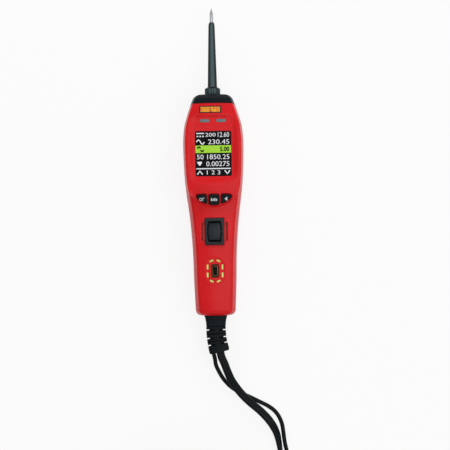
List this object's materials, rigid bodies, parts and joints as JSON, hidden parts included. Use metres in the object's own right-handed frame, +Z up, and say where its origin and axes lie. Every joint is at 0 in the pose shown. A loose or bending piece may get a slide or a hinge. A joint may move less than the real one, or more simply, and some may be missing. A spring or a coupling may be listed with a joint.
{
  "type": "automotive circuit tester",
  "caption": "Red hand-held automotive circuit tester with a black nose, a pull-out probe, a screen, keys, a power rocker and coiled supply and ground leads with spring clips",
  "frame": {"origin": "on the flat back of the housing at the middle of its length, where the tester rests", "axes": "+X to the right seen from above, +Y along the housing to the probe tip, +Z up out of the screen"},
  "size_m": [0.3166, 0.5014, 0.033],
  "materials": {
    "housing_red": "smooth moulded, red",
    "nose_black": "fine moulded texture, black",
    "switch_black": "smooth moulded, blue-black",
    "sleeve_black": "soft sheen, black",
    "cord_black": "soft sheen, black",
    "strap_black": "woven, black",
    "steel": "plain bright steel",
    "brass": "plain brass",
    "clear_window": "smoked clear plastic",
    "screen_dark": "dark display panel",
    "frame_white": "white moulded",
    "board_green": "green laminate",
    "component_black": "moulded, black",
    "lit_green": "clear yellow-green insert",
    "wire_red": "insulated wire"
  },
  "bodies": {
    "tester": {"front_shell": "housing_red", "rear_shell": "housing_red", "nose_cap": "nose_black", "housing_screws": "steel", "probe_socket": "brass", "task_lights": "clear_window", "screen_window": "clear_window", "lcd_module": "screen_dark", "screen_frame": "frame_white", "status_lenses": "clear_window", "status_leds": "frame_white", "tact_switches": "steel", "rocker_case": "switch_black", "rocker_terminals": "brass", "main_board": "board_green", "board_parts": "component_black", "sounder": "component_black", "circuit_breaker": "component_black", "usb_shell": "steel", "usb_tongue": "brass", "light_ring": "lit_green", "inner_wires": "wire_red", "strain_relief": "cord_black", "main_cord": "cord_black", "main_coil": "cord_black", "coil_tie": "strap_black", "coil_tail": "cord_black", "split_sleeve": "cord_black", "red_lead": "housing_red", "black_lead": "cord_black", "red_clip_base": "steel", "red_clip_pin": "steel", "red_clip_spring": "steel", "red_clip_base_grip": "housing_red", "black_clip_base": "steel", "black_clip_pin": "steel", "black_clip_spring": "steel", "black_clip_base_grip": "cord_black", "aux_cord": "cord_black", "aux_coil": "cord_black", "aux_tie": "strap_black", "aux_tail": "cord_black", "aux_clip_base": "steel", "aux_clip_pin": "steel", "aux_clip_spring": "steel", "aux_clip_base_grip": "cord_black"},
    "probe": {"probe_tip": "steel", "probe_sleeve": "sleeve_black"},
    "paddle": {"rocker_paddle": "switch_black"},
    "contact": {"rocker_contact": "brass"},
    "left_key": {"key_left": "nose_black"},
    "middle_key": {"key_middle": "nose_black"},
    "right_key": {"key_right": "nose_black"},
    "red_jaw": {"red_clip_jaw": "steel", "red_clip_jaw_grip": "housing_red"},
    "black_jaw": {"black_clip_jaw": "steel", "black_clip_jaw_grip": "cord_black"},
    "aux_jaw": {"aux_clip_jaw": "steel", "aux_clip_jaw_grip": "cord_black"}
  },
  "joints": [
    {"name": "rocker_tilt", "type": "hinge", "parent": "tester", "child": "paddle", "pos_m": [0, -0.0206, 0.02488], "axis": [1, 0, 0], "range_deg": [-9, 9], "stiffness_Nm_per_rad": 0.08},
    {"name": "contact_tilt", "type": "hinge", "parent": "tester", "child": "contact", "pos_m": [0, -0.0206, 0.01607], "axis": [1, 0, 0], "range_deg": [-5.4, 5.4]},
    {"name": "left_key_press", "type": "slide", "parent": "tester", "child": "left_key", "axis": [0, 0, -1], "range_m": [0, 0.0008], "stiffness_N_per_m": 1500},
    {"name": "middle_key_press", "type": "slide", "parent": "tester", "child": "middle_key", "axis": [0, 0, -1], "range_m": [0, 0.0008], "stiffness_N_per_m": 1500},
    {"name": "right_key_press", "type": "slide", "parent": "tester", "child": "right_key", "axis": [0, 0, -1], "range_m": [0, 0.0008], "stiffness_N_per_m": 1500},
    {"name": "probe_pull", "type": "slide", "parent": "tester", "child": "probe", "axis": [0, 1, 0], "range_m": [0, 0.03]},
    {"name": "red_jaw_open", "type": "hinge", "parent": "tester", "child": "red_jaw", "pos_m": [-0.162, -0.276, 0.0082], "axis": [0, 0, 1], "range_deg": [0, 20], "stiffness_Nm_per_rad": 0.6, "springref_deg": -20.05},
    {"name": "black_jaw_open", "type": "hinge", "parent": "tester", "child": "black_jaw", "pos_m": [-0.124, -0.276, 0.0082], "axis": [0, 0, 1], "range_deg": [0, 20], "stiffness_Nm_per_rad": 0.6, "springref_deg": -20.05},
    {"name": "aux_jaw_open", "type": "hinge", "parent": "tester", "child": "aux_jaw", "pos_m": [0.132, -0.232, 0.0049], "axis": [0, 0, 1], "range_deg": [0, 20], "stiffness_Nm_per_rad": 0.1, "springref_deg": -20.05}
  ],
  "couplings": [
    {"joint": "contact_tilt", "follows": "rocker_tilt", "ratio": -0.6}
  ]
}
